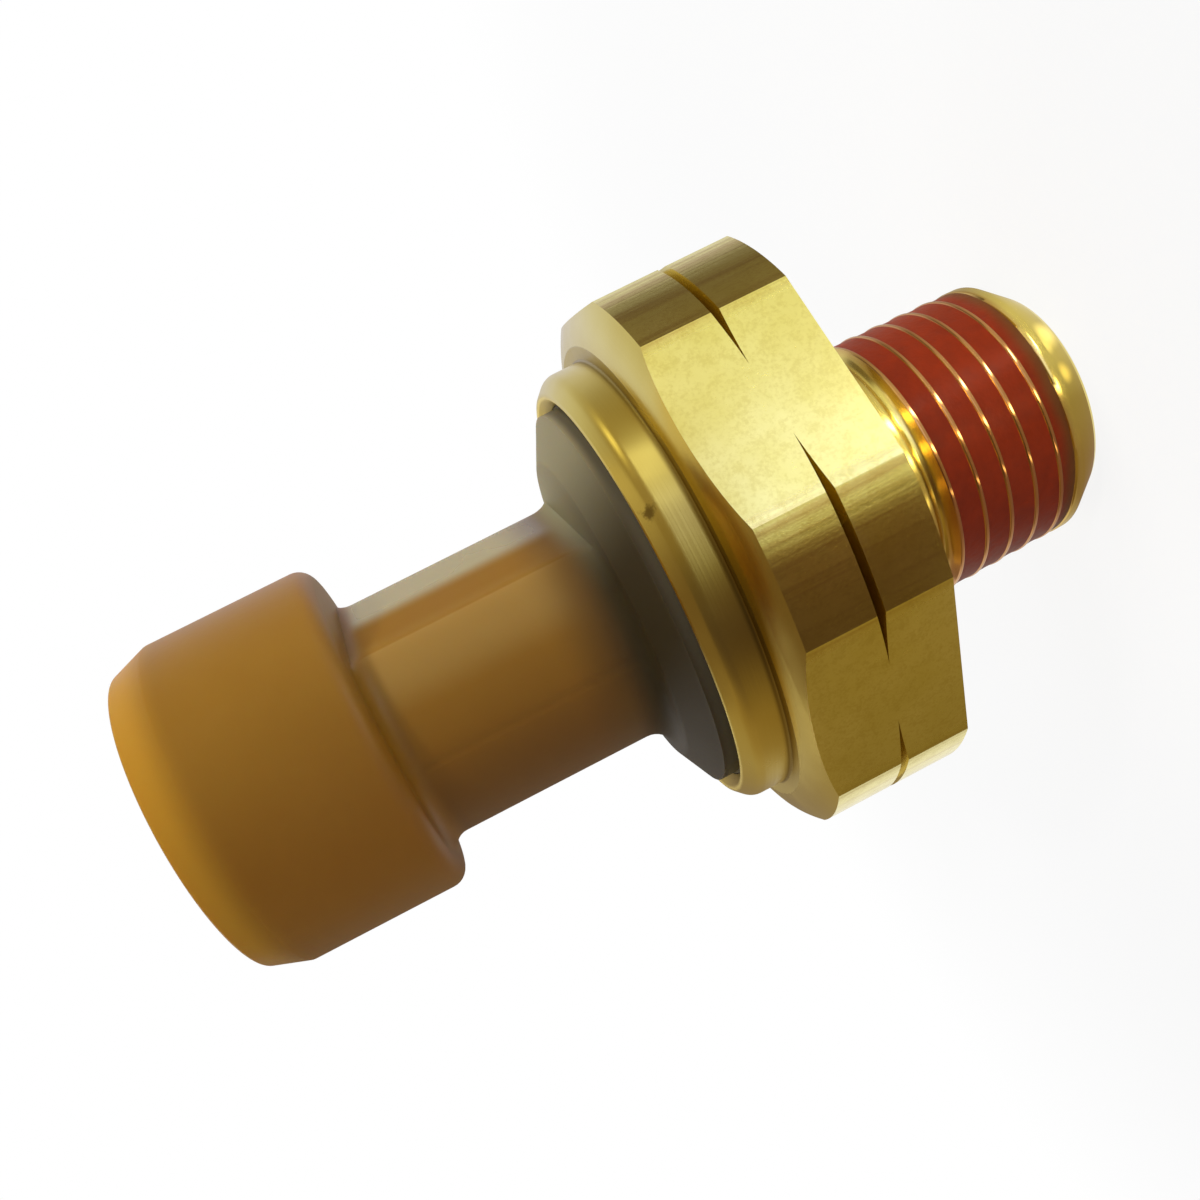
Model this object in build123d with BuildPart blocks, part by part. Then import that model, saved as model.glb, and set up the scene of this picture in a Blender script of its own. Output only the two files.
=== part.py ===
from build123d import *
from math import radians, sqrt, tan
import os

os.makedirs("parts", exist_ok=True)

# Manifold absolute pressure sensor with a ceramic capacitive element.
# Lengths are in millimetres. The origin is the centre of the thread's tip face,
# and +Z points along the axis to the mouth of the connector.

# Driving sizes of the tapered pipe thread: 18 turns to the inch, 1 in 16 on the diameter
thread_pitch = 25.4 / 18
thread_taper = 1 / 16
thread_tip_radius = 6.63
thread_depth = 0.73 * thread_pitch
thread_lead_in = 1.5
thread_lead_in_width = 1.15
stem_length = 13.0
stem_root_fillet = 0.3
sealant_start = 1.7
sealant_length = 6.9
sealant_below_crest = 0.12

# Driving sizes of the hexagon
hex_flats = 27.0
hex_corner_radius = 14.28
hex_face_width = 0.7
crown_height = 0.9
crown_arc_radius = 6.0
groove_height = 3.33
groove_width = 0.4
groove_depth = 0.67

# Driving sizes of the bore and the sensing element's cup
port_radius = 2.5
port_chamfer = 0.4
cup_floor_thickness = 2.0
gland_inset = 1.8
gland_slack = 0.3
gland_depth = 0.4
element_radius = 9.8
element_clearance = 0.1
ledge_width = 0.85

# Driving sizes of the sensing element
diaphragm_thickness = 0.6
glass_thickness = 0.1
glass_width = 1.6
substrate_thickness = 3.1
element_pin_radius = 0.3
element_pin_circle = 5.0
element_pin_embedded = 0.6
element_pin_above_board = 0.3

# Driving sizes of the gasket and its backup ring
gasket_height = 1.2
gasket_width = 1.9
gasket_clearance = 0.05
backup_ring_width = 0.7
backup_ring_gap = 0.1
gasket_edge_fillet = 0.3

# Driving sizes of the rolled lip
bead_height = 1.65
lip_thickness = 0.85
lip_reach = 0.5
lip_bend_fillet = 0.8
lip_end_fillet = 0.25

# Driving sizes of the connector's flange
flange_clearance = 0.05
flange_rim_height = 2.4
flange_bevel = 0.6
flange_cone_angle = 26.6
flange_top_above_rim = 2.45
collar_width = 1.53
collar_inset = 0.1
collar_height = 0.15
seal_section = 0.78
seal_clearance = 0.01
seal_land_clearance = 0.08
seal_land_width = 1.65

# Driving sizes of the neck and the head
neck_radius = 6.47
neck_length = 12.15
neck_lower_fillet = 1.2
neck_upper_fillet = 0.9
latch_flat_angle = -43.75
latch_flat_depth = 1.25
head_step = 2.2
head_length = 10.5
head_edge_fillet = 0.9
head_taper_length = 2.0
head_taper_width = 0.7
head_wall = 1.52
head_rim_fillet = 0.3

# Driving sizes of the socket
socket_depth = 9.25
socket_floor_fillet = 0.4
rib_height = 0.85
rib_root_depth = 0.4
key_rib_width = 2.0
guide_rib_width = 1.2
rib_below_mouth = 1.75

# Driving sizes of the contact pins
pin_count = 3
pin_circle = 3.0
pin_start_angle = 90
contact_radius = 0.8
contact_length = 4.6
contact_nose = 1.2
contact_tip_radius = 0.25
pin_embedded = 2.0
pin_collar_radius = 1.3
pin_collar_length = 1.0
pin_tail_radius = 0.5
pin_below_board = 0.3

# Driving sizes of the potting well, the chamber and the circuit board
socket_floor_thickness = 5.0
well_margin = 0.7
board_ledge = 1.0
upper_chamber_height = 1.5
board_standoff = 1.5
board_thickness = 0.8
board_clearance = 0.15
board_hole_clearance = 0.05
chip_side = 3.2
chip_height = 1.0
chip_edge_chamfer = 0.2
capacitor_length = 1.6
capacitor_width = 0.8
capacitor_margin = 1.8
capacitor_end_fillet = 0.1

# Heights along the axis that follow from the driving sizes
cup_floor = stem_length + cup_floor_thickness
gland_floor = cup_floor - gland_depth
diaphragm_bottom = gland_floor + gasket_height
diaphragm_top = diaphragm_bottom + diaphragm_thickness
substrate_bottom = diaphragm_top + glass_thickness
element_top = substrate_bottom + substrate_thickness
rim_top = element_top + flange_rim_height
flange_top = rim_top + flange_top_above_rim
collar_top = flange_top + collar_height
shoulder = collar_top + neck_length
mouth = shoulder + head_length
socket_floor = mouth - socket_depth
well_top = socket_floor - socket_floor_thickness
board_bottom = element_top + board_standoff
board_top = board_bottom + board_thickness
chamber_roof = board_top + upper_chamber_height

# Radii that follow from the driving sizes
pocket_radius = element_radius + element_clearance
cup_radius = pocket_radius + ledge_width
bead_radius = cup_radius + lip_thickness
gland_outer_radius = element_radius - gland_inset
backup_outer_radius = gland_outer_radius - gasket_clearance
backup_inner_radius = backup_outer_radius - backup_ring_width
gasket_outer_radius = backup_inner_radius - gasket_clearance
gland_inner_radius = gasket_outer_radius - gasket_width - gland_slack
flange_radius = cup_radius - flange_clearance
flange_throat_radius = flange_radius - flange_bevel
seal_land_radius = (pocket_radius + cup_radius - seal_section) / 2 - seal_land_clearance
chamber_radius = seal_land_radius - seal_land_width
upper_chamber_radius = chamber_radius - board_ledge
capacitor_circle = upper_chamber_radius - capacitor_margin
well_radius = pin_circle + pin_tail_radius + well_margin
collar_radius = neck_radius + collar_width
flange_top_radius = collar_radius + collar_inset
head_radius = neck_radius + head_step
head_mouth_radius = head_radius - head_taper_width
socket_radius = head_radius - head_wall


def crest_radius(height):
    """Radius over the thread's crests at a height above the tip."""
    return thread_tip_radius + height * thread_taper / 2


def pins_at(radius, start_angle):
    """Places of three pins on a circle."""
    return PolarLocations(radius, pin_count, start_angle=start_angle).locations


def nearest(section, radius, height):
    """Corner of a section that lies nearest to a radius and a height."""
    return section.vertices().sort_by_distance((radius, height))[0]


# Brass housing: pipe thread, hexagon, element cup and rolled lip
sealant_end = sealant_start + sealant_length
lip_offset = lip_thickness * sqrt(0.5)
lip_tip = (cup_radius - lip_reach, rim_top + lip_reach)
lip_outer_tip = (lip_tip[0] + lip_offset, lip_tip[1] + lip_offset)
lip_outer_bend = (bead_radius, lip_outer_tip[1] - (bead_radius - lip_outer_tip[0]))
hex_face = lip_outer_bend[1] - bead_height
crown_edge = (bead_radius + hex_face_width, hex_face)
land_top = (hex_corner_radius, hex_face - crown_height)
groove_middle = stem_length + groove_height

with BuildPart() as brass_body:
    with BuildSketch(Plane.XZ) as body_section:
        with BuildLine():
            Polyline(
                (port_radius + port_chamfer, 0),
                (crest_radius(thread_lead_in) - thread_lead_in_width, 0),
                (crest_radius(thread_lead_in), thread_lead_in),
                (crest_radius(sealant_start), sealant_start),
                (crest_radius(sealant_start) - thread_depth, sealant_start),
                (crest_radius(sealant_end) - thread_depth, sealant_end),
                (crest_radius(sealant_end), sealant_end),
                (crest_radius(stem_length), stem_length),
                (hex_corner_radius, stem_length),
                (hex_corner_radius, groove_middle - groove_width / 2),
                (hex_corner_radius - groove_depth, groove_middle),
                (hex_corner_radius, groove_middle + groove_width / 2),
                land_top,
            )
            RadiusArc(land_top, crown_edge, -crown_arc_radius)
            Polyline(
                crown_edge,
                (bead_radius, hex_face),
                lip_outer_bend,
                lip_outer_tip,
                lip_tip,
                (cup_radius, rim_top),
                (cup_radius, element_top),
                (pocket_radius, element_top),
                (pocket_radius, cup_floor),
                (gland_outer_radius, cup_floor),
                (gland_outer_radius, gland_floor),
                (gland_inner_radius, gland_floor),
                (gland_inner_radius, cup_floor),
                (port_radius, cup_floor),
                (port_radius, port_chamfer),
                (port_radius + port_chamfer, 0),
            )
        make_face()
        fillet(nearest(body_section, crest_radius(stem_length), stem_length), stem_root_fillet)
        fillet(nearest(body_section, *lip_outer_bend), lip_bend_fillet)
        fillet(nearest(body_section, *lip_outer_tip), lip_end_fillet)
    revolve(axis=Axis.Z)
    with BuildSketch(Plane.XY):
        RegularPolygon(radius=hex_flats / 2, side_count=6, major_radius=False)
    extrude(amount=mouth, mode=Mode.INTERSECT)
brass_body.part.label = "brass_body"
export_step(brass_body.part, "parts/brass_body.step")


# Band of sealant in the thread's grooves, as a tapered ring
with BuildPart() as thread_sealant:
    with BuildSketch(Plane.XZ):
        with BuildLine():
            Polyline(
                (crest_radius(sealant_start) - thread_depth, sealant_start),
                (crest_radius(sealant_start) - sealant_below_crest, sealant_start),
                (crest_radius(sealant_end) - sealant_below_crest, sealant_end),
                (crest_radius(sealant_end) - thread_depth, sealant_end),
                close=True,
            )
        make_face()
    revolve(axis=Axis.Z)
thread_sealant.part.label = "thread_sealant"
export_step(thread_sealant.part, "parts/thread_sealant.step")


# Contact pin with a bullet nose, a retaining collar and a thin tail for the board
contact_bottom = socket_floor - pin_embedded
contact_tip = socket_floor + contact_length
nose_base = contact_tip - contact_nose
tail_bottom = board_bottom - pin_below_board

with BuildPart() as contact_pin:
    with BuildSketch(Plane.XZ):
        with BuildLine():
            Polyline(
                (0, contact_tip),
                (0, tail_bottom),
                (pin_tail_radius, tail_bottom),
                (pin_tail_radius, contact_bottom - pin_collar_length),
                (pin_collar_radius, contact_bottom - pin_collar_length),
                (pin_collar_radius, contact_bottom),
                (contact_radius, contact_bottom),
                (contact_radius, nose_base),
            )
            TangentArc((contact_radius, nose_base), (contact_tip_radius, contact_tip), tangent=(0, 1))
            Line((contact_tip_radius, contact_tip), (0, contact_tip))
        make_face()
    revolve(axis=Axis.Z)

terminal_pins = [contact_pin.part.moved(place) for place in pins_at(pin_circle, pin_start_angle)]
for number, pin in enumerate(terminal_pins, start=1):
    pin.label = f"terminal_pin_{number}"
    export_step(pin, f"parts/terminal_pin_{number}.step")


# Connector housing: flange under the lip, neck, head and open socket
throat_height = flange_top - (flange_throat_radius - flange_top_radius) * tan(radians(flange_cone_angle))
taper_start = mouth - head_taper_length
seal_ceiling = element_top + seal_section + 2 * seal_clearance

with BuildPart() as connector_housing:
    with BuildSketch(Plane.XZ) as housing_section:
        with BuildLine():
            Polyline(
                (chamber_radius, element_top),
                (seal_land_radius, element_top),
                (seal_land_radius, seal_ceiling),
                (flange_radius, seal_ceiling),
                (flange_radius, rim_top),
                (flange_throat_radius, rim_top + flange_bevel),
                (flange_throat_radius, throat_height),
                (flange_top_radius, flange_top),
                (collar_radius, collar_top),
                (neck_radius, collar_top),
                (neck_radius, shoulder),
                (head_radius, shoulder),
                (head_radius, taper_start),
                (head_mouth_radius, mouth),
                (socket_radius, mouth),
                (socket_radius, socket_floor),
                (0, socket_floor),
                (0, well_top),
                (well_radius, well_top),
                (well_radius, chamber_roof),
                (upper_chamber_radius, chamber_roof),
                (upper_chamber_radius, board_top),
                (chamber_radius, board_top),
                close=True,
            )
        make_face()
        fillet(nearest(housing_section, neck_radius, collar_top), neck_lower_fillet)
        fillet(nearest(housing_section, neck_radius, shoulder), neck_upper_fillet)
        fillet(nearest(housing_section, head_radius, shoulder), head_edge_fillet)
        fillet(nearest(housing_section, head_mouth_radius, mouth), head_rim_fillet)
        fillet(nearest(housing_section, socket_radius, socket_floor), socket_floor_fillet)
    revolve(axis=Axis.Z)

    # Flat on the neck that clears the mating plug's latch
    latch_plane = Plane.XY.rotated((0, 0, latch_flat_angle)).offset(collar_top)
    with BuildSketch(latch_plane):
        with Locations((neck_radius - latch_flat_depth, 0)):
            Rectangle(neck_radius, 2 * neck_radius, align=(Align.MIN, Align.CENTER))
    extrude(amount=shoulder - collar_top, mode=Mode.SUBTRACT)

    # One rib in line with each pin inside the socket, the first of them the wide key
    for index in range(pin_count):
        rib_angle = pin_start_angle + index * 360 / pin_count
        rib_width = guide_rib_width if index else key_rib_width
        with BuildSketch(Plane.XY.rotated((0, 0, rib_angle)).offset(socket_floor)):
            with Locations((socket_radius - rib_height, 0)):
                Rectangle(rib_height + rib_root_depth, rib_width, align=(Align.MIN, Align.CENTER))
        extrude(amount=mouth - rib_below_mouth - socket_floor)

    # The pins are moulded in
    for pin in terminal_pins:
        add(pin, mode=Mode.SUBTRACT)
connector_housing.part.label = "connector_housing"
export_step(connector_housing.part, "parts/connector_housing.step")


# Potting in the neck's well, round the tails of the pins
with BuildPart() as terminal_potting:
    with BuildSketch(Plane.XY.offset(chamber_roof)):
        Circle(well_radius)
    extrude(amount=well_top - chamber_roof)
    for pin in terminal_pins:
        add(pin, mode=Mode.SUBTRACT)
terminal_potting.part.label = "terminal_potting"
export_step(terminal_potting.part, "parts/terminal_potting.step")


# Leads from the element to the board
element_pin_places = pins_at(element_pin_circle, pin_start_angle + 180 / pin_count)
element_pin_bottom = element_top - element_pin_embedded
element_pin_length = board_top + element_pin_above_board - element_pin_bottom

with BuildPart() as element_lead:
    with BuildSketch(Plane.XY.offset(element_pin_bottom)):
        Circle(element_pin_radius)
    extrude(amount=element_pin_length)

element_pins = [element_lead.part.moved(place) for place in element_pin_places]
for number, pin in enumerate(element_pins, start=1):
    pin.label = f"element_pin_{number}"
    export_step(pin, f"parts/element_pin_{number}.step")


# Round circuit board against the chamber's step, with holes for all the pins
with BuildPart() as circuit_board:
    with BuildSketch(Plane.XY.offset(board_bottom)):
        Circle(chamber_radius - board_clearance)
        with PolarLocations(pin_circle, pin_count, start_angle=pin_start_angle):
            Circle(pin_tail_radius + board_hole_clearance, mode=Mode.SUBTRACT)
        with PolarLocations(element_pin_circle, pin_count, start_angle=pin_start_angle + 180 / pin_count):
            Circle(element_pin_radius + board_hole_clearance, mode=Mode.SUBTRACT)
    extrude(amount=board_thickness)
circuit_board.part.label = "circuit_board"
export_step(circuit_board.part, "parts/circuit_board.step")


# Signal chip in the middle of the board
with BuildPart() as signal_chip:
    with BuildSketch(Plane.XY.offset(board_top)):
        Rectangle(chip_side, chip_side)
    extrude(amount=chip_height)
    chamfer(signal_chip.faces().sort_by(Axis.Z)[-1].edges(), chip_edge_chamfer)
signal_chip.part.label = "signal_chip"
export_step(signal_chip.part, "parts/signal_chip.step")


# Chip capacitors between the rows of pins
with BuildPart() as capacitor:
    with BuildSketch(Plane.XY.offset(board_top)):
        Rectangle(capacitor_width, capacitor_length)
    extrude(amount=capacitor_width)
    fillet(capacitor.edges().filter_by(Axis.X), capacitor_end_fillet)

capacitor_places = pins_at(capacitor_circle, pin_start_angle - 90 / pin_count)
capacitors = [capacitor.part.moved(place) for place in capacitor_places]
for number, body in enumerate(capacitors, start=1):
    body.label = f"capacitor_{number}"
    export_step(body, f"parts/capacitor_{number}.step")


# Thick ceramic disc of the element, with blind holes for the leads
with BuildPart() as ceramic_substrate:
    with BuildSketch(Plane.XY.offset(substrate_bottom)):
        Circle(element_radius)
    extrude(amount=substrate_thickness)
    for pin in element_pins:
        add(pin, mode=Mode.SUBTRACT)
ceramic_substrate.part.label = "ceramic_substrate"
export_step(ceramic_substrate.part, "parts/ceramic_substrate.step")


# Glass ring that joins the discs and sets the gap between them
with BuildPart() as glass_seal:
    with BuildSketch(Plane.XY.offset(diaphragm_top)):
        Circle(element_radius)
        Circle(element_radius - glass_width, mode=Mode.SUBTRACT)
    extrude(amount=glass_thickness)
glass_seal.part.label = "glass_seal"
export_step(glass_seal.part, "parts/glass_seal.step")


# Thin ceramic disc that the pressure bends
with BuildPart() as ceramic_diaphragm:
    with BuildSketch(Plane.XY.offset(diaphragm_bottom)):
        Circle(element_radius)
    extrude(amount=diaphragm_thickness)
ceramic_diaphragm.part.label = "ceramic_diaphragm"
export_step(ceramic_diaphragm.part, "parts/ceramic_diaphragm.step")


# Elastomer gasket in the gland, under the element
with BuildPart() as pressure_gasket:
    with BuildSketch(Plane.XZ) as gasket_section:
        with Locations((gasket_outer_radius, gland_floor)):
            Rectangle(gasket_width, gasket_height, align=(Align.MAX, Align.MIN))
        fillet(gasket_section.vertices(), gasket_edge_fillet)
    revolve(axis=Axis.Z)
pressure_gasket.part.label = "pressure_gasket"
export_step(pressure_gasket.part, "parts/pressure_gasket.step")


# Stiff ring that keeps the gasket from being pushed outward
with BuildPart() as gasket_backup_ring:
    with BuildSketch(Plane.XY.offset(gland_floor)):
        Circle(backup_outer_radius)
        Circle(backup_inner_radius, mode=Mode.SUBTRACT)
    extrude(amount=gasket_height - backup_ring_gap)
gasket_backup_ring.part.label = "gasket_backup_ring"
export_step(gasket_backup_ring.part, "parts/gasket_backup_ring.step")


# O-ring on the cup's ledge, under the flange
seal_middle_radius = (pocket_radius + cup_radius) / 2

with BuildPart() as flange_seal:
    with BuildSketch(Plane.XZ):
        with Locations((seal_middle_radius, element_top + seal_clearance + seal_section / 2)):
            Circle(seal_section / 2)
    revolve(axis=Axis.Z)
flange_seal.part.label = "flange_seal"
export_step(flange_seal.part, "parts/flange_seal.step")
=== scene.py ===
# %% [markdown]
# This lesson dresses a manifold absolute pressure sensor for an engine.
# The real one is a turned brass body with a pipe thread, rolled over an amber moulded connector.
# Every piece already exists as a plain solid in a fixed frame, in metres, standing on the thread's tip.
# Here the outside pieces are modelled again with their fine forms, and every surface gets its finish.

from math import atan2, cos, hypot, pi, radians, sin, sqrt, tan

import bpy
from mathutils import Matrix, Vector


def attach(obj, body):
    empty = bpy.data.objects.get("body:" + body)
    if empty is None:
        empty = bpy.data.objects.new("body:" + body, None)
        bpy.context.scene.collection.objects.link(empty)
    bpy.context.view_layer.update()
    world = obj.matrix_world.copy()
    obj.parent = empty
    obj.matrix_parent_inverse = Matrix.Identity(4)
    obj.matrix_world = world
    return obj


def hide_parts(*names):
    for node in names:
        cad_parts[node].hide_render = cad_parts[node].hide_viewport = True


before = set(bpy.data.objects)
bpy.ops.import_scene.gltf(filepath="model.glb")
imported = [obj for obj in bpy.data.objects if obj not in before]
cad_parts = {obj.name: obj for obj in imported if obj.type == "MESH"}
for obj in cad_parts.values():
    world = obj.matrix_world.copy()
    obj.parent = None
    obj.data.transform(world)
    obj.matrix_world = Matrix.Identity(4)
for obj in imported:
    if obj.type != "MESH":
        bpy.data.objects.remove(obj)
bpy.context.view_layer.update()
MM = 0.001

# %% [markdown]
# The camera comes first, because every later choice is judged through it.
# The photograph shows the sensor lying on its side, seen from close by.
# The part keeps standing in its own frame, so it is the camera that is rolled over.
# Its place and axes were found from the photograph's outline, the thread's pitch and the hexagon.

# %% Place the camera
CAMERA_PLACE = Vector((-20.77, -55.94, 31.92)) * MM
CAMERA_RIGHT = Vector((-0.45945, 0.06115, -0.88606))
CAMERA_AHEAD = Vector((0.26411, 0.96191, -0.07055))
CAMERA_LENS = 35.44
CAMERA_SENSOR = 36
CAMERA_SHIFT = 0.1108


def place_camera():
    """The camera at the photograph's viewing angle."""
    data = bpy.data.cameras.new("camera")
    data.lens = CAMERA_LENS
    data.sensor_width = CAMERA_SENSOR
    data.shift_y = CAMERA_SHIFT
    data.clip_start = 0.001
    data.clip_end = 20
    camera = bpy.data.objects.new("camera", data)
    bpy.context.scene.collection.objects.link(camera)
    back = -CAMERA_AHEAD.normalized()
    right = (CAMERA_RIGHT - CAMERA_RIGHT.dot(back) * back).normalized()
    up = back.cross(right)
    axes = Matrix((right, up, back)).transposed().to_4x4()
    camera.matrix_world = Matrix.Translation(CAMERA_PLACE) @ axes
    bpy.context.scene.camera = camera
    return camera


camera = place_camera()
print("camera stands", round(camera.location.length / MM, 1), "mm from the thread's tip")

# %% [markdown]
# Shader maths is easier to read as sums and products than as boxes and wires.
# The class below holds one socket of a node and builds a Math node for each operator.
# The second class holds one finish, and its method node makes every other kind of node.

# %% A socket that can be added and multiplied
class Wire:
    """One socket of a node tree, used like a number."""

    def __init__(self, finish, socket):
        self.finish = finish
        self.socket = socket

    def math(self, operation, *values):
        return self.finish.math_of(operation, *values)

    def __add__(self, other):
        return self.math("ADD", self, other)

    def __radd__(self, other):
        return self.math("ADD", other, self)

    def __sub__(self, other):
        return self.math("SUBTRACT", self, other)

    def __rsub__(self, other):
        return self.math("SUBTRACT", other, self)

    def __mul__(self, other):
        return self.math("MULTIPLY", self, other)

    def __rmul__(self, other):
        return self.math("MULTIPLY", other, self)

    def __truediv__(self, other):
        return self.math("DIVIDE", self, other)

    def __pow__(self, other):
        return self.math("POWER", self, other)

    def clamped(self):
        return self.math("MINIMUM", self.math("MAXIMUM", self, 0.0), 1.0)


class Finish:
    """A material whose nodes are written as expressions."""

    def __init__(self, name, roughness=0.5, metallic=0.0, **sockets):
        self.material = bpy.data.materials.new(name)
        self.material.use_nodes = True
        self.tree = self.material.node_tree
        self.shader = self.tree.nodes["Principled BSDF"]
        self.shader.inputs["Roughness"].default_value = roughness
        self.shader.inputs["Metallic"].default_value = metallic
        for socket, value in sockets.items():
            self.shader.inputs[socket.replace("_", " ")].default_value = value
        coordinates = self.tree.nodes.new("ShaderNodeTexCoord")
        self.place = Wire(self, coordinates.outputs["Object"])
        split = self.node("ShaderNodeSeparateXYZ", {}, {0: self.place}, node_only=True)
        self.x, self.y, self.z = [Wire(self, socket) for socket in split.outputs]

    def node(self, kind, settings, sockets, output=0, node_only=False):
        """A node with its settings, then the values or wires of its sockets."""
        node = self.tree.nodes.new(kind)
        for key, value in settings.items():
            if key == "stops":
                set_stops(node.color_ramp, value)
            else:
                setattr(node, key, value)
        for key, value in sockets.items():
            if isinstance(value, Wire):
                self.tree.links.new(value.socket, node.inputs[key])
            else:
                node.inputs[key].default_value = value
        return node if node_only else Wire(self, node.outputs[output])

    def math_of(self, operation, *values):
        return self.node("ShaderNodeMath", {"operation": operation}, dict(enumerate(values)))

    def noise(self, scale, detail=2.0, roughness=0.5, place=None, distortion=0.0):
        sockets = {"Vector": place or self.place, "Scale": scale, "Detail": detail}
        sockets.update({"Roughness": roughness, "Distortion": distortion})
        return self.node("ShaderNodeTexNoise", {}, sockets, output="Fac")

    def stretched(self, sizes):
        """The place with each axis scaled by its own factor."""
        return self.node("ShaderNodeMapping", {}, {"Vector": self.place, "Scale": sizes})

    def from_axis(self):
        """Distance from the Z axis."""
        return (self.x * self.x + self.y * self.y) ** 0.5

    def along(self, angle):
        """How far out a point lies along the level direction at an angle in degrees."""
        return self.x * cos(radians(angle)) + self.y * sin(radians(angle))

    def beside(self, angle):
        """How far a point lies to the left of that direction."""
        return self.y * cos(radians(angle)) - self.x * sin(radians(angle))

    def distance_to(self, place):
        """Distance from a fixed place."""
        settings = {"operation": "DISTANCE"}
        sockets = {0: self.place, 1: tuple(place)}
        return self.node("ShaderNodeVectorMath", settings, sockets, output="Value")

    def ramp(self, value, *stops):
        node = self.node("ShaderNodeValToRGB", {"stops": stops}, {0: value}, node_only=True)
        return Wire(self, node.outputs["Color"])

    def between(self, value, low, high):
        """0 under low, 1 over high, and a soft step from one to the other."""
        sockets = {"Value": value, "From Min": low, "From Max": high}
        return self.node("ShaderNodeMapRange", {"interpolation_type": "SMOOTHSTEP"}, sockets)

    def band(self, value, rise, fall):
        """1 between two soft steps, each given by its low and high end."""
        return self.between(value, *rise) * (1 - self.between(value, *fall))

    def mix(self, factor, first, second):
        """One colour where factor is 0 and another where it is 1."""
        settings = {"data_type": "RGBA"}
        return self.node("ShaderNodeMix", settings, {0: factor, 6: first, 7: second}, output=2)

    def feed(self, socket, value):
        self.tree.links.new(value.socket, self.shader.inputs[socket])

    def bump(self, height, distance, strength=1.0):
        """A bump that stands distance high where height is 1."""
        sockets = {"Height": height, "Distance": distance, "Strength": strength}
        self.feed("Normal", self.node("ShaderNodeBump", {}, sockets, output="Normal"))


def set_stops(ramp, stops):
    """The stops of a colour ramp, each a place and a colour."""
    while len(ramp.elements) < len(stops):
        ramp.elements.new(0.5)
    for element, (place, colour) in zip(ramp.elements, stops):
        element.position = place
        element.color = colour


def colour(red, green, blue):
    """A colour given as it looks on the screen, from 0 to 255, as the shader wants it."""
    values = [v / 255 for v in (red, green, blue)]
    return [v / 12.92 if v <= 0.04045 else ((v + 0.055) / 1.055) ** 2.4 for v in values] + [1.0]


def span(low, high):
    """A range given in millimetres, in the metres that the shader counts in."""
    return low * MM, high * MM


print("bright brass on the screen as", [round(v, 3) for v in colour(235, 215, 130)])

# %% [markdown]
# The studio is a pale floor, a white surround and a few soft lamps.
# Brass is a mirror, so what stands round it matters as much as the lamps do.
# Floor and surround are therefore white to the camera and to reflections, and the floor turns
# pure white away from the part, so that its edge never shows and only the soft shadow stays.

# %% Floor and surround
FLOOR_SIZE = 3.0
SHADOW_REACH = 0.11
SHADOW_CORE = 0.3
SHADOW_SHARE = 0.13
AMBIENT = 0.32
DIRECT_RAYS = ("Is Camera Ray", "Is Glossy Ray", "Is Transmission Ray")


def seen_directly(finish):
    """1 for camera, glossy and transmission rays, and 0 for all others."""
    path = finish.node("ShaderNodeLightPath", {}, {}, node_only=True)
    camera_ray, glossy_ray, passing_ray = [Wire(finish, path.outputs[name]) for name in DIRECT_RAYS]
    return (camera_ray + glossy_ray + passing_ray).clamped()


def lay_floor():
    """A pale floor under the tip, which is white to the camera and keeps a soft shadow."""
    bpy.ops.mesh.primitive_plane_add(size=FLOOR_SIZE, location=(0, 0, 0))
    floor = bpy.context.object
    floor.name = "floor"
    paint = Finish("floor_paint", roughness=0.6, Specular_IOR_Level=0.0)
    paint.shader.inputs["Base Color"].default_value = (0.9, 0.9, 0.9, 1)
    far = paint.between(paint.from_axis(), SHADOW_CORE * SHADOW_REACH, SHADOW_REACH)
    glow = paint.node("ShaderNodeEmission", {}, {"Color": (1, 1, 1, 1), "Strength": 1.0}, output=0)
    share = seen_directly(paint) * (1 - SHADOW_SHARE * (1 - far))
    plain = Wire(paint, paint.shader.outputs[0])
    lift = paint.node("ShaderNodeMixShader", {}, {0: share, 1: plain, 2: glow})
    paint.tree.links.new(lift.socket, paint.tree.nodes["Material Output"].inputs["Surface"])
    floor.data.materials.append(paint.material)


def set_world(ambient):
    """White to the camera and to reflections, and a plain level of light elsewhere."""
    world = bpy.data.worlds.new("surround")
    bpy.context.scene.world = world
    world.use_nodes = True
    tree = world.node_tree
    background = tree.nodes["Background"]
    background.inputs["Color"].default_value = (1, 1, 1, 1)
    path = tree.nodes.new("ShaderNodeLightPath")
    level = ambient
    for name in DIRECT_RAYS:
        lift = tree.nodes.new("ShaderNodeMath")
        lift.operation = "MAXIMUM"
        tree.links.new(path.outputs[name], lift.inputs[0])
        if level is ambient:
            lift.inputs[1].default_value = ambient
        else:
            tree.links.new(level, lift.inputs[1])
        level = lift.outputs[0]
    tree.links.new(level, background.inputs["Strength"])


bpy.ops.object.select_all(action="DESELECT")
lay_floor()
set_world(AMBIENT)
bpy.context.scene.view_settings.view_transform = "Standard"
print("floor is", FLOOR_SIZE, "m wide, its shadow fades out at", SHADOW_REACH, "m")

# %% [markdown]
# A round screen with a lid and a mat stands about the part and is seen only in reflections.
# It is white where the photograph's brass is bright, and brown or olive where the brass is dark,
# as the room and the photographer were. An image of a room could do the same, but a colour
# ramp round the axis is shorter and leaves every direction open to change.
# Narrow bright stripes on the mat give each crest of the thread its sparks, at the places where
# the photograph has them, and soft spots on the wall light the rolled lip.

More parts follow.
